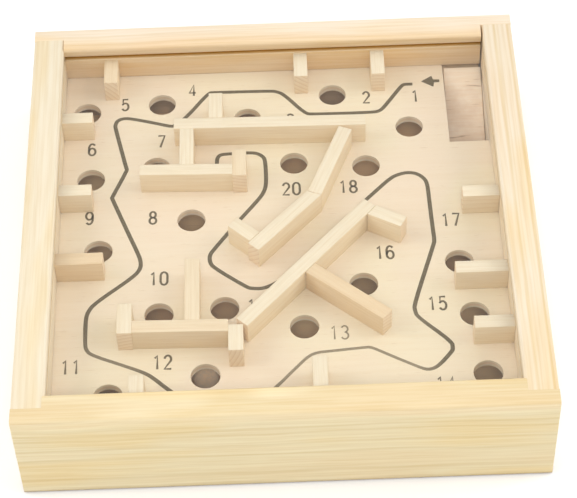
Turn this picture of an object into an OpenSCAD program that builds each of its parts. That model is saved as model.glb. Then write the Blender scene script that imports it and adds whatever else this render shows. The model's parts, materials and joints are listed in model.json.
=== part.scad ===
// Hand-held tilt maze: a pine case round a tray floor, a holed maze board and a clear cover.
// The origin is the middle of the case, on the surface it rests on. X is right, Y is back, Z is up.

/* [Case] */
// Outer width, left to right
case_w = 120; // [100:1:180]
// Outer depth, front to back
case_d = 120; // [100:1:180]
// Thickness of the four rails
rail_t = 7.4; // [6.4:0.1:10]
// Thickness of the end tongues on the front and back rails
tongue_t = 3.8; // [3:0.1:4.4]
// Height of the rails above the cover's groove
lip_h = 2.4; // [1.4:0.1:6]
// Rounding of the rails' long edges
edge_r = 0.8; // [0.3:0.1:1.2]
// Glue line between pieces that meet edge to edge
glue_gap = 0.1; // [0.05:0.01:0.2]

/* [Panels] */
// Depth of the grooves that hold the base, the board and the cover
groove_d = 2; // [1:0.1:2.6]
// Play of a panel in its groove
panel_gap = 0.15; // [0.1:0.01:0.3]
// Height of the base above the surface the case rests on
base_z = 1.6; // [1:0.1:4]
// Thickness of the base
base_t = 2; // [1.5:0.1:4]
// Clear height of the tray between the base and the board
tray_h = 12.1; // [9:0.1:18]
// Thickness of the maze board
board_t = 2; // [1.5:0.1:4]
// Thickness of the clear cover
cover_t = 1.2; // [0.8:0.1:2]

/* [Ball] */
// Diameter of the steel ball
ball_d = 6; // [4.5:0.1:7]
// Play of the ball in a hole of the board
hole_gap = 0.8; // [0.4:0.1:1.5]
// Play of the ball under the cover
cover_room = 0.6; // [0.4:0.1:1.5]
// Rolling gap under the ball
ball_gap = 0.2; // [0.1:0.01:0.3]

/* [Maze] */
// Width of the maze strips
strip_w = 3.4; // [2.6:0.1:4.4]
// Gap between the strips and the cover
strip_gap = 0.2; // [0.1:0.01:0.3]

/* [Ramp] */
// Width of the slot in the board's back right corner
slot_w = 9.9; // [8.5:0.1:14]
// Length of the slot
slot_l = 26.2; // [18:0.1:34]
// Length of the ramp
ramp_l = 34.5; // [26:0.1:44]
// Depth of the ramp's top edge below the board's face
ramp_drop = 0.5; // [0.3:0.1:1.8]
// Height of the ramp's blunt front edge
ramp_toe = 0.5; // [0.3:0.1:1]
// Gap between the ramp and the slot's sides
ramp_gap = 0.5; // [0.2:0.01:0.7]

/* [Hidden] */
$fn = 48;

// Heights, from the surface up
base_top = base_z + base_t;
board_z = base_top + tray_h;
board_top = board_z + board_t;
cover_z = board_top + ball_d + cover_room;
case_h = cover_z + cover_t + panel_gap + lip_h;
strip_h = ball_d + cover_room - strip_gap;
ramp_top = board_top - ramp_drop;
hole_d = ball_d + hole_gap;

// Playing field between the rails
field_w = case_w - 2 * rail_t;
field_d = case_d - 2 * rail_t;
panel_in = groove_d - panel_gap;
through = 1;

// Places of the holes and the ball in per cent of the field, from its middle
holes_pct = [
    [31.4, 30.4], [13.7, 41.5], [-6.7, 34.8], [-27, 40.3], [-44.8, 38.2],
    [-43.3, 17.2], [-28.1, 20.2], [-20, 4], [-41, -4.3], [-27.1, -22.8],
    [-37.8, -44.3], [-16.9, -39.8], [4.8, -27.5], [43.8, -41.6], [42.2, -25.6],
    [18.3, -16.3], [40, -10.8], [20.6, 18.6], [-12.6, -21.7], [3.9, 20.2]
];
ball_pct = [-17.3, -32.9];

// Ends of the strips' middle lines, in the same per cent
left_1_pct = [[-50, 31.4], [-42.9, 31.4]];
left_2_pct = [[-50, 9.1], [-42.5, 9.1]];
left_3_pct = [[-50, -11], [-39.4, -11]];
right_1_pct = [[50, 4.6], [41.8, 4.6]];
right_2_pct = [[50, -17.2], [38.5, -17.2]];
right_3_pct = [[50, -32.4], [41.4, -32.4]];
back_1_pct = [[-38.9, 50], [-38.9, 42.5]];
back_2_pct = [[6.3, 50], [6.3, 42.4]];
back_3_pct = [[24.7, 50], [24.7, 42.3]];
front_1_pct = [[-31.3, -50], [-31.3, -43.3]];
front_2_pct = [[7.7, -50], [7.7, -39.9]];
wall_pct = [[-23.7, 28.5], [20.8, 27.7]];
spur_pct = [[-14, 37.7], [-14, 28.3]];
link_pct = [[-20.8, 28.4], [-20.8, 14.2]];
mid_pct = [[-31.4, 14.5], [-8.7, 13.8]];
mid_end_pct = [[-8.7, 11.9], [-8.7, 19.6]];
upper_pct = [[16.1, 25.3], [8.3, 5.8]];
lower_pct = [[8.2, 5.8], [-5.9, -9.3]];
hook_pct = [[-10.4, -1.9], [-4.3, -7.6]];
slant_pct = [[20.6, 2.3], [-8.7, -30.2]];
slant_end_pct = [[19.3, 1.1], [27.9, -3.7]];
branch_pct = [[5.3, -14.7], [22.8, -29.5]];
low_pct = [[-34.2, -30.3], [-10.1, -30.8]];
low_end_pct = [[-34.2, -24.1], [-34.2, -32]];
low_spur_pct = [[-19.5, -12.2], [-19.5, -30.6]];
low_foot_pct = [[-10.1, -30.8], [-10.1, -37.5]];

pine_c = "#ecd5a6";
ply_c = "#ead7b8";
strip_c = "#f0dfc0";
ramp_c = "#e0c9a8";
clear_c = [0.9, 0.95, 0.95, 0.25];
steel_c = "#b9bcc0";

// A place in the field, in millimetres
function at(p) = [p.x * field_w / 100, p.y * field_d / 100];
// Direction of a strip's middle line
function heading(line) = let (run = at(line[1]) - at(line[0])) atan2(run.y, run.x);
slant_mitre = strip_w / 2 * tan(abs(heading(upper_pct) - heading(lower_pct)));

// Rail section: outer face at x = 0, inner face at x = rail_t
module rail_section() {
    difference() {
        union() {
            translate([edge_r, 0])
                square([rail_t - 2 * edge_r, case_h]);
            translate([0, edge_r])
                square([rail_t, case_h - 2 * edge_r]);
            for (x = [edge_r, rail_t - edge_r], y = [edge_r, case_h - edge_r])
                translate([x, y])
                    circle(r = edge_r);
        }
        for (panel = [[base_z, base_t], [board_z, board_t], [cover_z, cover_t]])
            translate([rail_t - groove_d, panel[0]])
                square([groove_d + through, panel[1] + panel_gap]);
    }
}

// Front rail, with the inner half cut away at both ends for the side rails
module full_rail() {
    difference() {
        translate([0, -case_d / 2, 0])
            rotate([90, 0, 90])
                linear_extrude(case_w, center = true)
                    rail_section();
        for (side = [0, 1])
            mirror([side, 0, 0])
                translate([field_w / 2 - glue_gap, tongue_t - case_d / 2, -through])
                    cube([rail_t + through, rail_t, case_h + 2 * through]);
    }
}

// Left rail, between the tongues
module side_rail() {
    translate([-case_w / 2, 0, 0])
        rotate([90, 0, 0])
            linear_extrude(case_d - 2 * (tongue_t + glue_gap), center = true)
                rail_section();
}

module front_rail() {
    color(pine_c)
        full_rail();
}

module back_rail() {
    color(pine_c)
        mirror([0, 1, 0])
            full_rail();
}

module left_rail() {
    color(pine_c)
        side_rail();
}

module right_rail() {
    color(pine_c)
        mirror([1, 0, 0])
            side_rail();
}

// Sheet that reaches into the grooves of all four rails
module panel(z, t) {
    translate([-field_w / 2 - panel_in, -field_d / 2 - panel_in, z])
        cube([field_w + 2 * panel_in, field_d + 2 * panel_in, t]);
}

module base_panel() {
    color(ply_c)
        panel(base_z, base_t);
}

module maze_board() {
    color(ply_c)
        difference() {
            panel(board_z, board_t);
            for (hole = holes_pct)
                translate(concat(at(hole), board_z - through))
                    cylinder(d = hole_d, h = board_t + 2 * through);
            translate([field_w / 2 - slot_w, field_d / 2 - slot_l, board_z - through])
                cube([slot_w + groove_d, slot_l + groove_d, board_t + 2 * through]);
        }
}

module clear_cover() {
    color(clear_c)
        panel(cover_z, cover_t);
}

// Wedge in the slot, standing on the base
module return_ramp() {
    color(ramp_c)
        translate([field_w / 2 - slot_w + ramp_gap, field_d / 2 - ramp_gap, base_top])
            rotate([90, 0, 90])
                linear_extrude(slot_w - 2 * ramp_gap)
                    polygon([[0, 0], [0, ramp_top - base_top], [-ramp_l, ramp_toe], [-ramp_l, 0]]);
}

module steel_ball() {
    color(steel_c)
        translate(concat(at(ball_pct), base_top + ball_gap + ball_d / 2))
            sphere(d = ball_d);
}

// Bar on the board along a middle line, grown all round and lengthened before and after it
module bar(line, grow = 0, before = 0, after = 0) {
    length = norm(at(line[1]) - at(line[0]));
    translate(concat(at(line[0]), board_top - grow))
        rotate(heading(line))
            translate([-before, -strip_w / 2 - grow, 0])
                cube([before + length + after, strip_w + 2 * grow, strip_h + 2 * grow]);
}

// Strip cut to the rails, to the sides of some neighbours and to the square ends of others
module strip(line, sides = [], ends = [], before = 0) {
    color(strip_c)
        difference() {
            intersection() {
                bar(line, before = before);
                translate([glue_gap - field_w / 2, glue_gap - field_d / 2, 0])
                    cube([field_w - 2 * glue_gap, field_d - 2 * glue_gap, case_h]);
            }
            for (neighbour = sides)
                bar(neighbour, glue_gap, 2 * strip_w, 2 * strip_w);
            for (neighbour = ends)
                bar(neighbour, strip_w, glue_gap, glue_gap);
        }
}

// Strips that butt a rail
module left_strip_1() { strip(left_1_pct); }
module left_strip_2() { strip(left_2_pct); }
module left_strip_3() { strip(left_3_pct); }
module right_strip_1() { strip(right_1_pct); }
module right_strip_2() { strip(right_2_pct); }
module right_strip_3() { strip(right_3_pct); }
module back_strip_1() { strip(back_1_pct); }
module back_strip_2() { strip(back_2_pct); }
module back_strip_3() { strip(back_3_pct); }
module front_strip_1() { strip(front_1_pct); }
module front_strip_2() { strip(front_2_pct); }

// Long wall, middle wall and the strips that join them
module long_wall() { strip(wall_pct); }
module long_wall_spur() { strip(spur_pct, [wall_pct]); }
module link_strip() { strip(link_pct, [wall_pct, mid_pct]); }
module mid_wall() { strip(mid_pct, [mid_end_pct]); }
module mid_wall_end() { strip(mid_end_pct); }

// Slanting strips, the lower one mitred to the square end of the upper one
module slant_upper() { strip(upper_pct, [wall_pct]); }
module slant_lower() { strip(lower_pct, [], [upper_pct], slant_mitre); }
module slant_hook() { strip(hook_pct, [lower_pct]); }
module long_slant() { strip(slant_pct); }
module long_slant_end() { strip(slant_end_pct, [slant_pct]); }
module long_slant_branch() { strip(branch_pct, [slant_pct]); }

// Low wall and its strips
module low_wall() { strip(low_pct, [low_end_pct, low_foot_pct]); }
module low_wall_end() { strip(low_end_pct); }
module low_wall_spur() { strip(low_spur_pct, [low_pct]); }
module low_wall_foot() { strip(low_foot_pct, [], [slant_pct]); }

front_rail();
back_rail();
left_rail();
right_rail();
base_panel();
maze_board();
clear_cover();
return_ramp();
steel_ball();
left_strip_1();
left_strip_2();
left_strip_3();
right_strip_1();
right_strip_2();
right_strip_3();
back_strip_1();
back_strip_2();
back_strip_3();
front_strip_1();
front_strip_2();
long_wall();
long_wall_spur();
link_strip();
mid_wall();
mid_wall_end();
slant_upper();
slant_lower();
slant_hook();
long_slant();
long_slant_end();
long_slant_branch();
low_wall();
low_wall_end();
low_wall_spur();
low_wall_foot();
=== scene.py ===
import json
import math
import bpy
from mathutils import Matrix, Vector


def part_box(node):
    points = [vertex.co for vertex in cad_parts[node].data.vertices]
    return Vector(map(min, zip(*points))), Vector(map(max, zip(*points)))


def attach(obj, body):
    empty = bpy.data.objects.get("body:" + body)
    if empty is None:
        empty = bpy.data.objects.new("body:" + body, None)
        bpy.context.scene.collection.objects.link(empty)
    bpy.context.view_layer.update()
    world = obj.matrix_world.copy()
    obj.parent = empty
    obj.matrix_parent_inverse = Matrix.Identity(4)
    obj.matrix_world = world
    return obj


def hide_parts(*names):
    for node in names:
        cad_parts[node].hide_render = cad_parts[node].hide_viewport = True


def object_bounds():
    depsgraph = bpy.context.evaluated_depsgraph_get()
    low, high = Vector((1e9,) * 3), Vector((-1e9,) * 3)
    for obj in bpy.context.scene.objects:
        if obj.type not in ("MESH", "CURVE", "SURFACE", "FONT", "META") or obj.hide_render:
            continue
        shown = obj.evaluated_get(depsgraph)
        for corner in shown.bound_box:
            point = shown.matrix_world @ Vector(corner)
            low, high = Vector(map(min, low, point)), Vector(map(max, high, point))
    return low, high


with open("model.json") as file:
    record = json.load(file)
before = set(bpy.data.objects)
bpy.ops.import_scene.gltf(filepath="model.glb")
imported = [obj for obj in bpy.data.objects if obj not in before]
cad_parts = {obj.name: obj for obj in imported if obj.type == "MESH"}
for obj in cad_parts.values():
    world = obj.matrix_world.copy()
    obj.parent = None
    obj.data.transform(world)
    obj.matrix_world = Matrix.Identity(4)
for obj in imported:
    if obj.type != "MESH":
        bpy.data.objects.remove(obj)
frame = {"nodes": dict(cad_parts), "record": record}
cadLow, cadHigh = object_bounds()
mm = 0.001
hair = 0.01 * mm  # two places closer than this count as one
facing = 0.7  # a face looks along a direction when their cosine is above this
slotOf = {part["node"]: part["material_slot"] for part in frame["record"]["subparts"]}
print("frame loaded,", len(frame["nodes"]), "nodes")


def linear(hexColour):
    channels = [int(hexColour[i:i + 2], 16) / 255 for i in (0, 2, 4)]
    return [c / 12.92 if c <= 0.04045 else ((c + 0.055) / 1.055) ** 2.4 for c in channels] + [1]


def addNode(tree, kind, settings=None, inputs=None):
    node = tree.nodes.new("ShaderNode" + kind)
    for key, value in (settings or {}).items():
        if key != "stops":
            setattr(node, key, value)
            continue
        while len(node.color_ramp.elements) < len(value):
            node.color_ramp.elements.new(0.5)
        for stop, (at, colour) in zip(node.color_ramp.elements, value):
            stop.position = at
            stop.color = linear(colour)
    for key, value in (inputs or {}).items():
        if isinstance(value, bpy.types.NodeSocket):
            tree.links.new(value, node.inputs[key])
        else:
            node.inputs[key].default_value = value
    return node


# settings of a colour Mix node: its sockets are 0 for the share, 6 and 7 for the colours, and 2 comes out
mixed = {"data_type": "RGBA"}
multiplied = {"data_type": "RGBA", "blend_type": "MULTIPLY"}


def newMaterial(name):
    material = bpy.data.materials.new(name)
    material.use_nodes = True
    material.node_tree.nodes.clear()
    return material, material.node_tree


def perMetre(size):
    return 1 / (size * mm)  # texture scale for a feature of that many millimetres


def grainScale(axis, width, length):
    return [perMetre(length if i == axis else width) for i in range(3)]


# camera, fitted to the photograph; its frame is 577 x 498
cameraSetup = {"lens": 130.38, "place": (2.483, -317.955, 402.174),
               "azimuth": 0.089, "elevation": 50.924, "roll": -2.186}

azimuth, elevation, roll = (math.radians(cameraSetup[key]) for key in ("azimuth", "elevation", "roll"))
flat = math.cos(elevation)
backward = Vector((math.sin(azimuth) * flat, -math.cos(azimuth) * flat, math.sin(elevation)))
level = Vector((math.cos(azimuth), math.sin(azimuth), 0))
upward = backward.cross(level)
right = math.cos(roll) * level + math.sin(roll) * upward
upward = math.cos(roll) * upward - math.sin(roll) * level
turned = Matrix((right, upward, backward)).transposed().to_4x4()
bpy.ops.object.camera_add()
camera = bpy.context.object
camera.data.lens = cameraSetup["lens"]
camera.matrix_world = Matrix.Translation(Vector(cameraSetup["place"]) * mm) @ turned
bpy.context.scene.camera = camera
print("camera placed")


# rails: one pine board each, so every rail has its own pith, rings, tints and heartwood (mm); the front rail's heart
# band is painted shade that darkens its front face below the top
railGrain = {
    "front_rail": {"along": "X", "pith": (0, -50, -70), "ring": 1.4, "turn": (0, 0.5, 0), "wander": 2.6, "seed": 3.0,
                   "early": "e4d5b2", "late": "dbc9a2", "heartAndShade": (97, 98.5), "heartAndShadeTint": "f6f7f4"},
    "back_rail": {"along": "X", "pith": (0, 30, 10), "ring": 1.2, "turn": (0, -0.6, 0.8), "wander": 2.4, "seed": 11.0,
                  "early": "e2d4c0", "late": "dfcfb8", "heartAndShade": (31, 34), "heartAndShadeTint": "fcf0db"},
    "left_rail": {"along": "Y", "pith": (-44, 0, -40), "ring": 0.9, "turn": (0, 0, 2.2), "wander": 1.6, "seed": 23.0,
                  "early": "dfd4bd", "late": "d9caae", "heartAndShade": (0, 3), "heartAndShadeTint": "ffffff"},
    "right_rail": {"along": "Y", "pith": (-20, 0, 24), "ring": 1.2, "turn": (0, 0, -0.4), "wander": 0.8, "seed": 37.0,
                   "early": "e1d3bd", "late": "d9c6a3", "heartAndShade": (0, 3), "heartAndShadeTint": "ffffff"},
}

# planed pine: cream earlywood, soft tan rings of uneven width along the rail, a dull sheen from the planer,
# darker end grain, painted light that lightens the side rails' inner faces, painted shade that darkens the groove
# further in and a painted contact shadow along the bottom
pine = {"wander": (12, 34), "cloud": (9, 45),  # mm, across and along the rail
        "fibre": (0.6, 22),  # real fibres are far finer, drawn this coarse to show
        "taper": 900, "ridge": 0.05,  # the log hardly tapers
        "endTint": "f3e6d0", "paintedLight": "fff4de", "groove": ("ecdbb8", "deb87c", "c48c36"),
        "foot": (0.2, 1.1), "contactShadow": "a89880"}  # painted contact shadow along the bottom, where the case stands on the floor


def planedPine(name, grain):
    material, tree = newMaterial(name)
    axis = "XYZ".index(grain["along"])
    turn = [math.radians(a) for a in grain["turn"]]
    place = addNode(tree, "TexCoord").outputs["Object"]
    wanderSpace = addNode(tree, "Mapping", None, {"Vector": place, "Scale": grainScale(axis, *pine["wander"]),
                                                  "Location": (grain["seed"], 0, 0)})
    wander = addNode(tree, "TexNoise", None, {"Vector": wanderSpace.outputs[0], "Scale": 1, "Detail": 1.5,
                                              "Roughness": 0.5})
    log = addNode(tree, "Mapping", None, {"Vector": place, "Rotation": turn,
                                          "Location": [-p / grain["ring"] for p in grain["pith"]],
                                          "Scale": grainScale(axis, grain["ring"], pine["taper"])})
    radius = addNode(tree, "VectorMath", {"operation": "LENGTH"}, {0: log.outputs[0]})
    years = addNode(tree, "Math", {"operation": "MULTIPLY_ADD"},
                    {0: wander.outputs["Fac"], 1: grain["wander"], 2: radius.outputs["Value"]})
    rings = addNode(tree, "TexNoise", {"noise_dimensions": "1D"},
                    {"W": years.outputs[0], "Scale": 1, "Detail": 1.2, "Roughness": 0.5})
    ringColour = addNode(tree, "ValToRGB", {"stops": [(0.3, grain["late"]), (0.6, grain["early"])]},
                         {"Fac": rings.outputs["Fac"]})
    # for the front rail this band is painted shade that darkens its front face below the top
    sapwoodAndTop = addNode(tree, "MapRange", None, {"Value": years.outputs[0], "From Min": grain["heartAndShade"][0] / grain["ring"],
                                               "From Max": grain["heartAndShade"][1] / grain["ring"]})
    heartAndShadeColour = addNode(tree, "ValToRGB", {"stops": [(0.0, grain["heartAndShadeTint"]), (1.0, "ffffff")]},
                          {"Fac": sapwoodAndTop.outputs[0]})
    heartAndShaded = addNode(tree, "Mix", multiplied, {0: 1.0, 6: ringColour.outputs[0], 7: heartAndShadeColour.outputs[0]})
    fibreSpace = addNode(tree, "Mapping", None, {"Vector": place, "Scale": grainScale(axis, *pine["fibre"]),
                                                 "Rotation": turn, "Location": (grain["seed"], 0, 0)})
    fibre = addNode(tree, "TexNoise", None, {"Vector": fibreSpace.outputs[0], "Scale": 1, "Detail": 3,
                                             "Roughness": 0.6})
    fibreColour = addNode(tree, "ValToRGB", {"stops": [(0.32, "efe4cc"), (0.6, "ffffff")]},
                          {"Fac": fibre.outputs["Fac"]})
    streaked = addNode(tree, "Mix", multiplied, {0: 0.5, 6: heartAndShaded.outputs[2], 7: fibreColour.outputs[0]})
    cloudSpace = addNode(tree, "Mapping", None, {"Vector": place, "Scale": grainScale(axis, *pine["cloud"]),
                                                 "Location": (0, grain["seed"], 0)})
    cloud = addNode(tree, "TexNoise", None, {"Vector": cloudSpace.outputs[0], "Scale": 1, "Detail": 2,
                                             "Roughness": 0.5})
    cloudColour = addNode(tree, "ValToRGB", {"stops": [(0.35, "fff6e2"), (0.5, "ffffff"), (0.66, "fffaf6")]},
                          {"Fac": cloud.outputs["Fac"]})
    tinted = addNode(tree, "Mix", multiplied, {0: 0.8, 6: streaked.outputs[2], 7: cloudColour.outputs[0]})
    ends = addNode(tree, "Attribute", {"attribute_name": "endGrain"}).outputs["Fac"]
    ended = addNode(tree, "Mix", multiplied, {0: ends, 6: tinted.outputs[2], 7: linear(pine["endTint"])})
    # painted light: a share of the side rails' inner faces is lightened
    inside = addNode(tree, "Attribute", {"attribute_name": "inside"}).outputs["Fac"]
    paintedLight = addNode(tree, "Mix", mixed, {0: inside, 6: ended.outputs[2], 7: linear(pine["paintedLight"])})
    # painted shade: the groove turns browner the deeper it goes into the rail
    grooveDepth = addNode(tree, "Attribute", {"attribute_name": "grooveDepth"}).outputs["Fac"]
    grooveColour = addNode(tree, "ValToRGB", {"stops": list(zip((0.0, 0.45, 1.0), pine["groove"]))},
                           {"Fac": grooveDepth})
    inGroove = addNode(tree, "Attribute", {"attribute_name": "inGroove"}).outputs["Fac"]
    grooved = addNode(tree, "Mix", mixed, {0: inGroove, 6: paintedLight.outputs[2], 7: grooveColour.outputs[0]})
    # painted contact shadow: the rail darkens along its bottom, where the case meets the floor
    height = addNode(tree, "SeparateXYZ", None, {"Vector": place}).outputs["Z"]
    foot = addNode(tree, "MapRange", None, {"Value": height, "From Min": pine["foot"][0] * mm,
                                            "From Max": pine["foot"][1] * mm})
    contactShadowColour = addNode(tree, "ValToRGB", {"stops": [(0.0, pine["contactShadow"]), (1.0, "ffffff")]},
                         {"Fac": foot.outputs[0]})
    contactShadowed = addNode(tree, "Mix", multiplied, {0: 1.0, 6: grooved.outputs[2], 7: contactShadowColour.outputs[0]})
    sheen = addNode(tree, "MapRange", None, {"Value": fibre.outputs["Fac"], "To Min": 0.5, "To Max": 0.68})
    ridges = addNode(tree, "Bump", None, {"Strength": 0.2, "Distance": pine["ridge"] * mm,
                                          "Height": fibre.outputs["Fac"]})
    surface = addNode(tree, "BsdfPrincipled", None, {"Base Color": contactShadowed.outputs[2], "Roughness": sheen.outputs[0],
                                                     "Normal": ridges.outputs[0], "IOR": 1.5})
    addNode(tree, "OutputMaterial", None, {"Surface": surface.outputs[0]})
    return material


# planed lime: smooth pale wood, faint rings, tan end grain with its rings just showing (mm)
lime = {"ring": 1.1, "stretch": 0.12, "early": "e7dabf", "late": "e4d5b8", "fibre": (0.4, 9), "ridge": 0.04}


def planedLime(name):
    material, tree = newMaterial(name)
    place = addNode(tree, "Attribute", {"attribute_name": "grain"}).outputs["Vector"]
    tone = addNode(tree, "Attribute", {"attribute_name": "tone"}).outputs["Fac"]
    ends = addNode(tree, "Attribute", {"attribute_name": "endGrain"}).outputs["Fac"]
    log = addNode(tree, "Mapping", None, {"Vector": place, "Scale": (lime["stretch"], 1, 1)})
    rings = addNode(tree, "TexWave", {"wave_type": "RINGS", "rings_direction": "X", "wave_profile": "SAW"},
                    {"Vector": log.outputs[0], "Scale": perMetre(lime["ring"]) * math.pi / 10,  # a wave is pi / 10 long
                     "Distortion": 2.2, "Detail": 2, "Detail Scale": 0.25, "Detail Roughness": 0.5})
    ringStops = [(0.0, lime["early"]), (0.55, lime["early"]), (0.9, lime["late"]), (1.0, lime["early"])]
    ringColour = addNode(tree, "ValToRGB", {"stops": ringStops}, {"Fac": rings.outputs["Fac"]})
    fibreSpace = addNode(tree, "Mapping", None, {"Vector": place, "Scale": grainScale(0, *lime["fibre"])})
    fibre = addNode(tree, "TexNoise", None, {"Vector": fibreSpace.outputs[0], "Scale": 1, "Detail": 2,
                                             "Roughness": 0.6})
    fibreColour = addNode(tree, "ValToRGB", {"stops": [(0.3, "f0e6d2"), (0.6, "ffffff")]},
                          {"Fac": fibre.outputs["Fac"]})
    streaked = addNode(tree, "Mix", multiplied, {0: 0.4, 6: ringColour.outputs[0], 7: fibreColour.outputs[0]})
    toneStops = [(0.0, "f5e9da"), (0.5, "fbfbfb"), (0.8, "ffffff"), (1.0, "fffaf3")]
    toneColour = addNode(tree, "ValToRGB", {"stops": toneStops}, {"Fac": tone})
    toned = addNode(tree, "Mix", multiplied, {0: 1.0, 6: streaked.outputs[2], 7: toneColour.outputs[0]})
    endStops = [(0.0, "e6d2b4"), (0.6, "e2ccac"), (0.92, "d8bd99"), (1.0, "e6d2b4")]
    endColour = addNode(tree, "ValToRGB", {"stops": endStops}, {"Fac": rings.outputs["Fac"]})
    ended = addNode(tree, "Mix", mixed, {0: ends, 6: toned.outputs[2], 7: endColour.outputs[0]})
    sheen = addNode(tree, "MapRange", None, {"Value": fibre.outputs["Fac"], "To Min": 0.52, "To Max": 0.7})
    ridges = addNode(tree, "Bump", None, {"Strength": 0.2, "Distance": lime["ridge"] * mm,
                                          "Height": fibre.outputs["Fac"]})
    surface = addNode(tree, "BsdfPrincipled", None, {"Base Color": ended.outputs[2], "Roughness": sheen.outputs[0],
                                                     "Normal": ridges.outputs[0], "IOR": 1.5})
    addNode(tree, "OutputMaterial", None, {"Surface": surface.outputs[0]})
    return material


# a wooden piece starts as a copy of its CAD node, its mesh cleaned for reshaping
cleaning = {"merge": 0.001, "flat": 0.4}  # mm and degrees


def cleanCopy(nodeName):
    piece = bpy.data.objects.new(nodeName + "_eased", frame["nodes"][nodeName].data.copy())
    bpy.context.scene.collection.objects.link(piece)
    piece.data.materials.clear()
    bpy.ops.object.select_all(action="DESELECT")
    piece.select_set(True)
    bpy.context.view_layer.objects.active = piece
    bpy.ops.object.mode_set(mode="EDIT")
    bpy.ops.mesh.select_all(action="SELECT")
    bpy.ops.mesh.remove_doubles(threshold=cleaning["merge"] * mm)
    bpy.ops.mesh.dissolve_limited(angle_limit=math.radians(cleaning["flat"]))
    bpy.ops.mesh.normals_make_consistent(inside=False)
    bpy.ops.object.mode_set(mode="OBJECT")
    bpy.ops.mesh.customdata_custom_splitnormals_clear()
    return piece


def slide(piece, picked, shift):
    bpy.ops.object.mode_set(mode="EDIT")
    bpy.ops.mesh.select_all(action="DESELECT")
    bpy.ops.object.mode_set(mode="OBJECT")
    for index in picked:
        piece.data.vertices[index].select = True
    bpy.ops.object.mode_set(mode="EDIT")
    bpy.ops.transform.translate(value=shift)
    bpy.ops.object.mode_set(mode="OBJECT")


# cut edges eased, as sandpaper leaves them
easing = {"segments": 2, "sharp": 40, "smooth": 50}  # degrees


def easeEdges(piece, width):
    bevel = piece.modifiers.new("easing", "BEVEL")
    bevel.width = width * mm
    bevel.segments = easing["segments"]
    bevel.limit_method = "ANGLE"
    bevel.angle_limit = math.radians(easing["sharp"])
    bpy.ops.object.modifier_apply(modifier="easing")
    bpy.ops.object.shade_smooth_by_angle(angle=math.radians(easing["smooth"]))


def setAttribute(piece, name, domain, values):
    attribute = piece.data.attributes.new(name, "FLOAT", domain)
    attribute.data.foreach_set("value", values)


# which way the wood runs in a piece: grain coordinates for its material, and which faces are cut ends
def layGrain(piece, along, spin, shift):
    across = Vector((-along.y, along.x, 0))
    raised = Vector((0, 0, 1))
    sideways = math.cos(spin) * across + math.sin(spin) * raised
    upwards = math.cos(spin) * raised - math.sin(spin) * across
    middle = sum((v.co for v in piece.data.vertices), Vector()) / len(piece.data.vertices)
    grain = piece.data.attributes.new("grain", "FLOAT_VECTOR", "POINT")
    for vertex, value in zip(piece.data.vertices, grain.data):
        spot = vertex.co - middle
        value.vector = (spot.dot(along) + shift[0], spot.dot(sideways) + shift[1], spot.dot(upwards) + shift[2])
    setAttribute(piece, "endGrain", "FACE", [float(abs(f.normal.dot(along)) > facing) for f in piece.data.polygons])


def finishPiece(piece, body, material, nodeName=None):
    piece.data.materials.append(material)
    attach(piece, body)
    if nodeName:
        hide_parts(nodeName)


# mm; glue closes every corner joint but the back right one, and the last share is painted light that lightens the side
# rails' inner faces
railShape = {"ease": 0.03, "joint": 0.3, "glue": 0.12, "openCorner": 0.25, "brim": 0.55, "rounding": 0.8,
             "ledge": 0.03, "slit": (0.1, 0.2), "lip": 0.12, "paintedLight": 0.26}
shoulder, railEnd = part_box("right_rail")[0].x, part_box("right_rail")[1].y
innerPlane = (shoulder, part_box("back_rail")[0].y)
coverLow, coverHigh = (corner.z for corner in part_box("clear_cover"))
slitLow, slitHigh = (coverHigh + edge * mm for edge in railShape["slit"])  # the slit between cover and lip
grooveLow = coverLow - railShape["slit"][0] * mm
for nodeName, grain in railGrain.items():
    rail = cleanCopy(nodeName)
    points = rail.data.vertices
    axis, plane = (0, shoulder) if grain["along"] == "X" else (1, railEnd)
    across = 1 - axis
    for side in (-1, 1):
        joint = [v.index for v in points if abs(v.co[axis] - side * plane) < railShape["joint"] * mm]
        grow = -railShape["openCorner"] if nodeName == "back_rail" and side == 1 else railShape["glue"]
        slide(rail, joint, [side * grow * mm if i == axis else 0 for i in range(3)])
        if nodeName == "front_rail":  # glue fills the notch over the side rails' rounded edges
            brim = [i for i in joint if points[i].co.z > cadHigh.z - railShape["rounding"] * mm]
            slide(rail, brim, (side * railShape["brim"] * mm, 0, 0))
    ledge = [v.index for v in points if abs(v.co.z - coverLow) < hair]
    slide(rail, ledge, (0, 0, -railShape["ledge"] * mm))  # or the cover's face and the ledge would lie in one plane
    if grain["along"] == "Y":  # the side rails' lips lie close on the cover, so no dark slit shows there
        lip = [v.index for v in points if slitLow < v.co.z < slitHigh]
        slide(rail, lip, (0, 0, -railShape["lip"] * mm))
    easeEdges(rail, railShape["ease"])
    layGrain(rail, Vector((1, 0, 0)) if grain["along"] == "X" else Vector((0, 1, 0)), 0, (0, 0, 0))
    faces = rail.data.polygons
    paintedLight = railShape["paintedLight"] if grain["along"] == "Y" else 0  # painted light: the side rails' inner faces are lightened
    facesIn = [f.normal[across] * math.copysign(1, f.center[across]) < -facing for f in faces]
    setAttribute(rail, "inside", "FACE", [paintedLight * within for within in facesIn])
    setAttribute(rail, "inGroove", "FACE", [float(grooveLow < f.center.z < slitHigh) for f in faces])
    depths = [max(0, abs(v.co[across]) - innerPlane[across]) / mm for v in rail.data.vertices]
    setAttribute(rail, "grooveDepth", "POINT", depths)
    finishPiece(rail, "case", planedPine("planed pine " + nodeName, grain), nodeName)
print("rails dressed")
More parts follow.
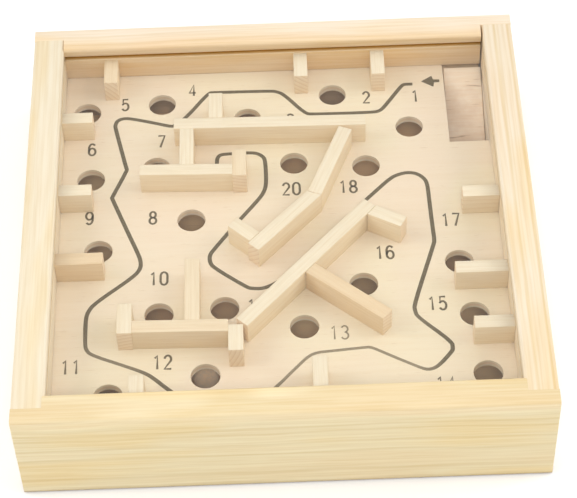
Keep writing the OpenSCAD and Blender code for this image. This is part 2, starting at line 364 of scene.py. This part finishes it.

# mm and turns; each strip is cut from another place in the log, a few from a tan board; the pale top tone of
# left_strip_1, left_strip_2 and right_strip_1 is painted light against the shade of the rails beside them
stripShape = {"ease": 0.08, "glue": 0.09, "pith": 26, "step": 31, "drift": 9, "golden": 0.618,
              "spins": {"back_strip_1": 0.12},
              "topFace": 0.5, "tone": (0.45, 0.1), "sideToneAndShade": 1,  # side faces get a tone of their own, warmer than the tops and on some strips darker, partly painted shade
              "tonesAndPaintedLight": {"left_strip_3": 0, "long_slant_branch": 0, "low_wall": 0.2, "back_strip_1": 0.1,
                        "mid_wall_end": 0.2, "low_wall_spur": 0.3, "left_strip_1": 0.8, "left_strip_2": 0.8,
                        "right_strip_1": 0.8},
              "sideTonesAndShade": {"left_strip_3": 0, "long_slant_branch": 0, "low_wall": 0.2, "left_strip_2": 0.3,
                            "right_strip_1": 0.25, "right_strip_2": 0.3}}
limeMaterial = planedLime("planed lime strip")
stripNames = [name for name in frame["nodes"] if slotOf[name] == "maze strip lime wood"]
for count, nodeName in enumerate(sorted(stripNames)):
    strip = cleanCopy(nodeName)
    points = strip.data.vertices
    edges = [points[e.vertices[1]].co - points[e.vertices[0]].co for e in strip.data.edges]
    along = max((e for e in edges if abs(e.z) < hair), key=lambda e: e.length).normalized()
    for side in (-1, 1) if "slant" not in nodeName else ():  # glue closes the square joints, the slanting ones show
        cutEnd = {i for f in strip.data.polygons if f.normal.dot(along) * side > facing for i in f.vertices}
        slide(strip, cutEnd, along * side * stripShape["glue"] * mm)
    easeEdges(strip, stripShape["ease"])
    chance = (count * stripShape["golden"]) % 1
    spin = stripShape["spins"].get(nodeName, chance) * math.tau
    shift = (count * stripShape["step"] * mm, stripShape["pith"] * mm, chance * stripShape["drift"] * mm)
    layGrain(strip, along, spin, shift)
    plainTone, toneRange = stripShape["tone"]
    topToneAndLight = stripShape["tonesAndPaintedLight"].get(nodeName, plainTone + chance * toneRange)
    sideToneAndShade = stripShape["sideTonesAndShade"].get(nodeName, stripShape["sideToneAndShade"])
    # side tones are partly painted shade; some top tones are painted light
    tonesAndPaintedLight = [topToneAndLight if f.normal.z > stripShape["topFace"] else sideToneAndShade for f in strip.data.polygons]
    setAttribute(strip, "tone", "FACE", tonesAndPaintedLight)
    finishPiece(strip, "case", limeMaterial, nodeName)
print("strips dressed,", len(stripNames))


# printed plywood: sanded pale face veneer, faint pores and pinkish clouds; holes and slot show the plies (mm)
boardFace = {"face": "e4d4b9", "pink": "e4d2b8", "yellow": "e4d6b8", "core": "e0c8a6",
             "veneer": (1.1, 22), "slope": 1.5, "pores": (0.3, 3.5), "cloud": 26, "ridge": 0.04}


def sandedPlywood(name, look, low, high):
    material, tree = newMaterial(name)
    place = addNode(tree, "TexCoord").outputs["Object"]
    cloud = addNode(tree, "TexNoise", None, {"Vector": place, "Scale": perMetre(look["cloud"]), "Detail": 2,
                                             "Roughness": 0.5})
    cloudStops = [(0.36, look["pink"]), (0.5, look["face"]), (0.62, look["yellow"])]
    cloudColour = addNode(tree, "ValToRGB", {"stops": cloudStops}, {"Fac": cloud.outputs["Fac"]})
    grainSpace = addNode(tree, "Mapping", None, {"Vector": place, "Rotation": (0, 0, math.radians(look["slope"])),
                                                 "Scale": grainScale(0, *look["veneer"])})
    veneer = addNode(tree, "TexNoise", None, {"Vector": grainSpace.outputs[0], "Scale": 1, "Detail": 3,
                                              "Roughness": 0.6})
    veneerColour = addNode(tree, "ValToRGB", {"stops": [(0.34, "f5ecdc"), (0.6, "ffffff")]},
                           {"Fac": veneer.outputs["Fac"]})
    grained = addNode(tree, "Mix", multiplied, {0: 0.22, 6: cloudColour.outputs[0], 7: veneerColour.outputs[0]})
    poreSpace = addNode(tree, "Mapping", None, {"Vector": place, "Scale": grainScale(0, *look["pores"])})
    pores = addNode(tree, "TexNoise", None, {"Vector": poreSpace.outputs[0], "Scale": 1, "Detail": 1,
                                             "Roughness": 0.5})
    poreColour = addNode(tree, "ValToRGB", {"stops": [(0.24, "c9aa80"), (0.33, "ffffff")]},
                         {"Fac": pores.outputs["Fac"]})
    pored = addNode(tree, "Mix", multiplied, {0: 0.25, 6: grained.outputs[2], 7: poreColour.outputs[0]})
    height = addNode(tree, "SeparateXYZ", None, {"Vector": place}).outputs["Z"]
    depth = addNode(tree, "MapRange", None, {"Value": height, "From Min": low, "From Max": high})
    plyStops = [(0.3, "000000"), (0.36, "ffffff"), (0.64, "ffffff"), (0.7, "000000")]
    plies = addNode(tree, "ValToRGB", {"stops": plyStops}, {"Fac": depth.outputs[0]})
    layered = addNode(tree, "Mix", mixed, {0: plies.outputs[0], 6: pored.outputs[2], 7: linear(look["core"])})
    sheen = addNode(tree, "MapRange", None, {"Value": veneer.outputs["Fac"], "To Min": 0.55, "To Max": 0.72})
    ridges = addNode(tree, "Bump", None, {"Strength": 0.18, "Distance": look["ridge"] * mm,
                                          "Height": pores.outputs["Fac"]})
    surface = addNode(tree, "BsdfPrincipled", None, {"Base Color": layered.outputs[2], "Roughness": sheen.outputs[0],
                                                     "Normal": ridges.outputs[0], "IOR": 1.5})
    addNode(tree, "OutputMaterial", None, {"Surface": surface.outputs[0]})
    return material


board = frame["nodes"]["maze_board"]
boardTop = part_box("maze_board")[1].z
board.material_slots[0].material = sandedPlywood("sanded plywood board", boardFace,
                                                 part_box("maze_board")[0].z, boardTop)

# base: the same plywood, coarser and browner
basePanel = {"face": "fed7a0", "pink": "fcd09b", "yellow": "fedaa3", "core": "cfa974",
             "veneer": (1.1, 22), "slope": 1.5, "pores": (0.45, 6), "cloud": 18, "ridge": 0.04}
base = frame["nodes"]["base_panel"]
base.material_slots[0].material = sandedPlywood("rough plywood base", basePanel,
                                                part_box("base_panel")[0].z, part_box("base_panel")[1].z)
print("panels dressed")


# sawn ramp: a pale wedge cut across the grain, with a few short saw scratches from side to side (mm)
rampShape = {"ease": 0.35, "widen": (0.22, 0.42), "pale": "f8e8d1", "brown": "e1c4a8", "line": "b59c86",
             "cloud": 8, "saw": (0.6, 6), "slope": -3, "ridge": 0.08}


def sawnWood(name):
    material, tree = newMaterial(name)
    place = addNode(tree, "TexCoord").outputs["Object"]
    cloud = addNode(tree, "TexNoise", None, {"Vector": place, "Scale": perMetre(rampShape["cloud"]), "Detail": 3,
                                             "Roughness": 0.6})
    along = addNode(tree, "SeparateXYZ", None, {"Vector": place}).outputs["Y"]
    foot, head = (corner.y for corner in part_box("return_ramp"))
    # painted shade: the ramp's colour darkens towards its foot
    worn = addNode(tree, "MapRange", None, {"Value": along, "From Min": foot, "From Max": head,
                                            "To Min": -0.3, "To Max": 0.3})
    cloudAndFootShade = addNode(tree, "Math", {"operation": "ADD"}, {0: worn.outputs[0], 1: cloud.outputs["Fac"]})
    cloudAndFootShadeStops = [(0.3, rampShape["brown"]), (0.7, rampShape["pale"])]  # painted shade: the foot, which runs down under the board, is browner than the head
    cloudAndFootShadeColour = addNode(tree, "ValToRGB", {"stops": cloudAndFootShadeStops}, {"Fac": cloudAndFootShade.outputs[0]})
    sawSpace = addNode(tree, "Mapping", None, {"Vector": place, "Scale": grainScale(0, *rampShape["saw"]),
                                               "Rotation": (0, 0, math.radians(rampShape["slope"]))})
    saw = addNode(tree, "TexNoise", None, {"Vector": sawSpace.outputs[0], "Scale": 1, "Detail": 1, "Roughness": 0.5})
    sawStops = [(0.22, rampShape["line"]), (0.32, "fbf6ef"), (0.6, "ffffff")]
    sawColour = addNode(tree, "ValToRGB", {"stops": sawStops}, {"Fac": saw.outputs["Fac"]})
    sawn = addNode(tree, "Mix", multiplied, {0: 0.85, 6: cloudAndFootShadeColour.outputs[0], 7: sawColour.outputs[0]})
    ridges = addNode(tree, "Bump", None, {"Strength": 0.3, "Distance": rampShape["ridge"] * mm,
                                          "Height": saw.outputs["Fac"]})
    surface = addNode(tree, "BsdfPrincipled", None, {"Base Color": sawn.outputs[2], "Roughness": 0.8,
                                                     "Normal": ridges.outputs[0], "IOR": 1.5})
    addNode(tree, "OutputMaterial", None, {"Surface": surface.outputs[0]})
    return material


ramp = cleanCopy("return_ramp")
for side, corner, widen in zip((-1, 1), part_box("return_ramp"), rampShape["widen"]):  # wider below its worn edges
    flank = [v.index for v in ramp.data.vertices if abs(v.co.x - corner.x) < hair]
    slide(ramp, flank, (side * widen * mm, 0, 0))
easeEdges(ramp, rampShape["ease"])
finishPiece(ramp, "case", sawnWood("cross-sawn ramp"), "return_ramp")
print("ramp dressed")


# clear acrylic: polished, so it mirrors a little of the room, more at a low angle;
# headOn is the share mirrored straight on, from an IOR of 1.49
acrylic = {"headOn": 0.039, "steepness": 5.0, "roughness": 0.03}
material, tree = newMaterial("polished clear acrylic")
lean = addNode(tree, "LayerWeight", None, {"Blend": 0.5}).outputs["Facing"]
steep = addNode(tree, "Math", {"operation": "POWER"}, {0: lean, 1: acrylic["steepness"]}).outputs[0]
shine = addNode(tree, "Math", {"operation": "MULTIPLY_ADD"},
                {0: steep, 1: 1 - acrylic["headOn"], 2: acrylic["headOn"]})
clear = addNode(tree, "BsdfTransparent", None, {"Color": (1, 1, 1, 1)})
mirror = addNode(tree, "BsdfGlossy", None, {"Color": (1, 1, 1, 1), "Roughness": acrylic["roughness"]})
sheet = addNode(tree, "MixShader", None, {0: shine.outputs[0], 1: clear.outputs[0], 2: mirror.outputs[0]})
addNode(tree, "OutputMaterial", None, {"Surface": sheet.outputs[0]})
frame["nodes"]["clear_cover"].material_slots[0].material = material

# steel ball, dulled by rolling and by wood dust, so it shows no sharp highlight (mm)
steel = {"bright": "f2ddbe", "dusty": "fee3bc", "sheen": "f8dcb2", "scuff": 0.7, "dent": 0.06}
material, tree = newMaterial("dusty steel ball")
place = addNode(tree, "TexCoord").outputs["Object"]
dust = addNode(tree, "TexNoise", None, {"Vector": place, "Scale": perMetre(steel["scuff"]), "Detail": 3,
                                        "Roughness": 0.6}).outputs["Fac"]
steelColour = addNode(tree, "ValToRGB", {"stops": [(0.35, steel["bright"]), (0.6, steel["dusty"])]}, {"Fac": dust})
bare = addNode(tree, "MapRange", None, {"Value": dust, "From Min": 0.35, "From Max": 0.6,
                                        "To Min": 0.1, "To Max": 0.0})
dull = addNode(tree, "MapRange", None, {"Value": dust, "To Min": 0.6, "To Max": 0.9})
dents = addNode(tree, "Bump", None, {"Strength": 0.3, "Distance": steel["dent"] * mm, "Height": dust})
surface = addNode(tree, "BsdfPrincipled", None, {"Base Color": steelColour.outputs[0], "Metallic": bare.outputs[0],
                                                 "Roughness": dull.outputs[0], "Normal": dents.outputs[0],
                                                 "Diffuse Roughness": 1.0, "Sheen Weight": 1.0,
                                                 "Sheen Roughness": 0.6, "Sheen Tint": linear(steel["sheen"])})
addNode(tree, "OutputMaterial", None, {"Surface": surface.outputs[0]})
frame["nodes"]["steel_ball"].material_slots[0].material = material
print("cover and ball dressed")


# print on the board: dark grey ink, a thin flat layer, worn in two places, where a share of a stroke is left (mm)
ink = {"thin": 0.03, "mottle": 0.8, "dark": "5c5137", "light": "6d6046", "bare": "d8c6a6",
       "worn": [{"centre": (15, -39), "reach": 15, "fade": 7, "left": 0.75},
                {"centre": (-39, -37), "reach": 4, "fade": 8, "left": 0.85}]}
inkHeight = boardTop + ink["thin"] * mm / 4  # the layer's middle, so a quarter of it is sunk in the board
inkMaterial, tree = newMaterial("screen printed grey ink")
place = addNode(tree, "TexCoord").outputs["Object"]
mottle = addNode(tree, "TexNoise", None, {"Vector": place, "Scale": perMetre(ink["mottle"]), "Detail": 2,
                                          "Roughness": 0.6})
inked = addNode(tree, "ValToRGB", {"stops": [(0.3, ink["dark"]), (0.7, ink["light"])]},
                {"Fac": mottle.outputs["Fac"]}).outputs[0]
for patch in ink["worn"]:  # worn ink is paler too
    centre = (patch["centre"][0] * mm, patch["centre"][1] * mm, boardTop)
    away = addNode(tree, "VectorMath", {"operation": "DISTANCE"}, {0: place, 1: centre})
    pale = addNode(tree, "MapRange", None, {"Value": away.outputs["Value"], "From Min": patch["reach"] * mm,
                                            "From Max": (patch["reach"] + patch["fade"]) * mm,
                                            "To Min": 1 - patch["left"], "To Max": 0})
    inked = addNode(tree, "Mix", mixed, {0: pale.outputs[0], 6: inked, 7: linear(ink["bare"])}).outputs[2]
surface = addNode(tree, "BsdfPrincipled", None, {"Base Color": inked, "Roughness": 0.7, "IOR": 1.5})
addNode(tree, "OutputMaterial", None, {"Surface": surface.outputs[0]})


def strokeShare(x, y):
    share = 1
    for patch in ink["worn"]:
        outside = (math.dist((x, y), patch["centre"]) - patch["reach"]) / patch["fade"]
        share *= patch["left"] + (1 - patch["left"]) * min(max(outside, 0), 1)
    return share


def inkStrokes(name, strokes, width):
    bpy.ops.object.select_all(action="DESELECT")
    bpy.ops.curve.primitive_bezier_curve_add()
    piece = bpy.context.object
    piece.name = name
    line = piece.data
    line.splines.clear()
    line.dimensions = "3D"
    line.twist_mode = "Z_UP"
    line.bevel_depth = ink["thin"] * mm / 2
    line.bevel_resolution = 0
    line.extrude = (width - ink["thin"]) * mm / 2
    line.use_fill_caps = True
    for stroke in strokes:
        closed = stroke[0] == stroke[-1]
        points = stroke[:-1] if closed else stroke
        spline = line.splines.new("POLY")
        spline.points.add(len(points) - 1)
        spline.use_cyclic_u = closed
        for point, (x, y) in zip(spline.points, points):
            point.co = (x * mm, y * mm, inkHeight, 1)
            point.tilt = math.pi / 2  # lays the ribbon flat
            point.radius = strokeShare(x, y)
    bpy.ops.object.convert(target="MESH")
    bpy.ops.object.mode_set(mode="EDIT")
    bpy.ops.mesh.select_all(action="SELECT")
    bpy.ops.mesh.normals_make_consistent(inside=False)
    bpy.ops.object.mode_set(mode="OBJECT")
    finishPiece(piece, "case", inkMaterial)


route = {"width": 1.0, "points": [
    (34.8, 46.4), (32.7, 46.4), (32, 46), (26.9, 38.4), (25.9, 37.6), (24.5, 37.2), (9.3, 37.3), (7.3, 37.7),
    (2.2, 44.5), (0.4, 45.5), (-1, 45.8), (-15.6, 46), (-16.8, 45.9), (-22.3, 37.8), (-25.3, 35), (-26.5, 35),
    (-30, 36.2), (-35, 37.7), (-37.5, 38.3), (-39.5, 37.7), (-40.1, 36.1), (-40, 34.9), (-37, 21.4), (-36.8, 21),
    (-40.3, 12.3), (-40.3, 12), (-35.9, 0.2), (-34, -4.7), (-33, -7.7), (-33, -10.1), (-34.6, -12.5), (-43.6, -20),
    (-45.1, -22.5), (-45.5, -24.8), (-45.4, -31.8), (-45.1, -33.3), (-44, -34.8), (-36.5, -38.1), (-31.5, -40.4),
    (-29.5, -42), (-26.6, -44.9), (-22.8, -48.3), (-5, -48.5), (-1.7, -45.5), (3.1, -40.1), (5.7, -37.3),
    (7.7, -36.4), (10.2, -36.2), (18.4, -35.5), (19.7, -35.4), (21, -36), (24.5, -38.1), (31, -41.8), (32.4, -42.3),
    (33.8, -42.1), (35.4, -41), (38.3, -37.5), (38.6, -36.7), (38.5, -34.7), (31.1, -27.3), (30.7, -25.5),
    (30.6, -23.8), (36.4, -6), (36.7, -4.7), (36.5, 0), (36.3, 9), (36.2, 13.4), (35.3, 15.2), (33.6, 16.6),
    (31.4, 16.9), (29.2, 16.3), (27.3, 15.2), (22.3, 9.9), (19.4, 6.8), (14, 0.4), (2.5, -13.2), (-1.3, -16),
    (-3.4, -17), (-4.9, -17.4), (-7, -17.2), (-8.1, -16.8), (-15.9, -10.5), (-16.7, -8.8), (-16.7, -6.8),
    (-15.9, -5.4), (-12.5, -0.5), (-8.9, 4.5), (-4.7, 10.1), (-3.4, 12.4), (-2.8, 15), (-2.9, 22.2), (-3.4, 23.8),
    (-5, 25), (-7, 25.2), (-11.3, 25.1), (-13, 25), (-14, 24.8), (-14.7, 23.9), (-14.8, 22)]}


def cutCorners(points, near=0.75, far=0.25):
    soft = [points[0]]
    for (x, y), (u, v) in zip(points, points[1:]):
        soft += [(x * near + u * far, y * near + v * far), (x * far + u * near, y * far + v * near)]
    return soft + [points[-1]]


inkStrokes("route_line", [cutCorners(cutCorners(route["points"]))], route["width"])


# the numbers, thin upright figures; strokes are in a box one wide and one high
figures = {"width": 1.6, "height": 3.75, "stroke": 0.55, "pitch": 2.5, "places": [
    (35.2, 42.2), (22.9, 42.4), (3.7, 35.7), (-20.8, 47), (-37.7, 42.8), (-45.6, 28.1), (-28.5, 30), (-30.3, 5.4),
    (-45.6, 6), (-28.7, -13.3), (-48.5, -38.1), (-27.6, -37.6), (13, -31), (36.3, -46.4), (36, -23.6), (24.7, -7.9),
    (41, 1.4), (17, 13), (-5.8, -22.4), (3.2, 13)]}


def bow(x, y, wide, tall, first, last, steps=14):
    turns = [math.radians(first + (last - first) * i / steps) for i in range(steps + 1)]
    return [(round(x + wide * math.cos(t), 4), round(y + tall * math.sin(t), 4)) for t in turns]


six = bow(0.5, 0.62, 0.5, 0.38, 40, 180) + bow(0.5, 0.31, 0.5, 0.31, 180, 540, 22)
nought = bow(0.5, 0.7, 0.5, 0.3, 0, 180) + bow(0.5, 0.3, 0.5, 0.3, 180, 360)
strokesOf = {
    "0": [nought + nought[:1]],
    "1": [[(0.2, 0.82), (0.56, 1), (0.56, 0)]],
    "2": [bow(0.5, 0.72, 0.46, 0.28, 170, -25) + [(0.02, 0), (1, 0)]],
    "3": [bow(0.47, 0.76, 0.45, 0.24, 155, -90) + bow(0.47, 0.26, 0.5, 0.26, 90, -155)],
    "4": [[(0.7, 0), (0.7, 1), (0, 0.27), (1, 0.27)]],
    "5": [[(0.92, 1), (0.16, 1), (0.09, 0.53)] + bow(0.48, 0.33, 0.5, 0.33, 142, -150, 18)],
    "6": [six],
    "7": [[(0.02, 1), (1, 1), (0.36, 0)]],
    "8": [bow(0.5, 0.76, 0.42, 0.24, 270, 630, 20), bow(0.5, 0.26, 0.5, 0.26, 90, 450, 22)],
    "9": [[(1 - x, 1 - y) for x, y in six]],
}
numberStrokes = []
for count, (x, y) in enumerate(figures["places"]):
    digits = str(count + 1)
    low = y - figures["height"] / 2
    for place, digit in enumerate(digits):
        left = x + (place - (len(digits) - 1) / 2) * figures["pitch"] - figures["width"] / 2
        for stroke in strokesOf[digit]:
            numberStrokes.append([(left + u * figures["width"], low + v * figures["height"]) for u, v in stroke])
inkStrokes("hole_numbers", numberStrokes, figures["stroke"])


# start arrow, pointing from the ramp to the route
arrow = {"outline": [(37, 47.2), (39.75, 49), (40.1, 47.75), (41.65, 47.65), (41.65, 46.75), (40.3, 46.7), (40, 45.2)]}
bpy.ops.object.select_all(action="DESELECT")
bpy.ops.curve.primitive_bezier_curve_add()
startArrow = bpy.context.object
startArrow.name = "start_arrow"
startArrow.data.splines.clear()
startArrow.data.dimensions = "2D"
startArrow.data.fill_mode = "BOTH"
startArrow.data.extrude = ink["thin"] * mm / 2
outline = startArrow.data.splines.new("POLY")
outline.points.add(len(arrow["outline"]) - 1)
outline.use_cyclic_u = True
for point, (x, y) in zip(outline.points, arrow["outline"]):
    point.co = (x * mm, y * mm, 0, 1)
bpy.ops.object.convert(target="MESH")
bpy.ops.object.mode_set(mode="EDIT")
bpy.ops.mesh.select_all(action="SELECT")
bpy.ops.mesh.remove_doubles(threshold=cleaning["merge"] * mm)
bpy.ops.mesh.normals_make_consistent(inside=False)
bpy.ops.transform.translate(value=(0, 0, inkHeight))
bpy.ops.object.mode_set(mode="OBJECT")
finishPiece(startArrow, "case", inkMaterial)
print("print laid on the board")


# pale floor and soft studio light: two wide lamps at the sides, a faint one behind,
# and a small one by the camera, which looks into the holes (metres)
studio = {"floor": 3.0, "below": 0.0001, "floorColour": "f4f4f4", "room": 0.72}
lamps = {
    "left": {"place": (-1.2, 0.0, 0.8), "size": 1.0, "power": 8.4},
    "right": {"place": (1.2, 0.0, 0.8), "size": 1.0, "power": 9.7},
    "rear": {"place": (0.0, 1.2, 0.9), "size": 1.0, "power": 1.4},
    "front": {"place": (0.004, -0.76, 0.95), "size": 0.3, "power": 4.1},
}
bpy.ops.object.select_all(action="DESELECT")
bpy.ops.mesh.primitive_plane_add(size=studio["floor"], location=(0, 0, -studio["below"]))
floor = bpy.context.object
floor.name = "floor"
material, tree = newMaterial("white paper floor")
surface = addNode(tree, "BsdfPrincipled", None, {"Base Color": linear(studio["floorColour"]), "Roughness": 0.9})
addNode(tree, "OutputMaterial", None, {"Surface": surface.outputs[0]})
floor.data.materials.append(material)

for name, look in lamps.items():
    bpy.ops.object.light_add(type="AREA", location=look["place"])
    lamp = bpy.context.object
    lamp.name = name
    lamp.data.size = look["size"]
    lamp.data.energy = look["power"]
    lamp.visible_glossy = False  # or the cover would mirror the lamps and turn white
    lamp.rotation_euler = (-Vector(look["place"])).to_track_quat("-Z", "Y").to_euler()

world = bpy.data.worlds.new("white studio")
world.use_nodes = True
world.node_tree.nodes["Background"].inputs["Color"].default_value = (1, 1, 1, 1)
world.node_tree.nodes["Background"].inputs["Strength"].default_value = studio["room"]
bpy.context.scene.world = world
bpy.context.scene.view_settings.view_transform = "Standard"
print("studio lit")
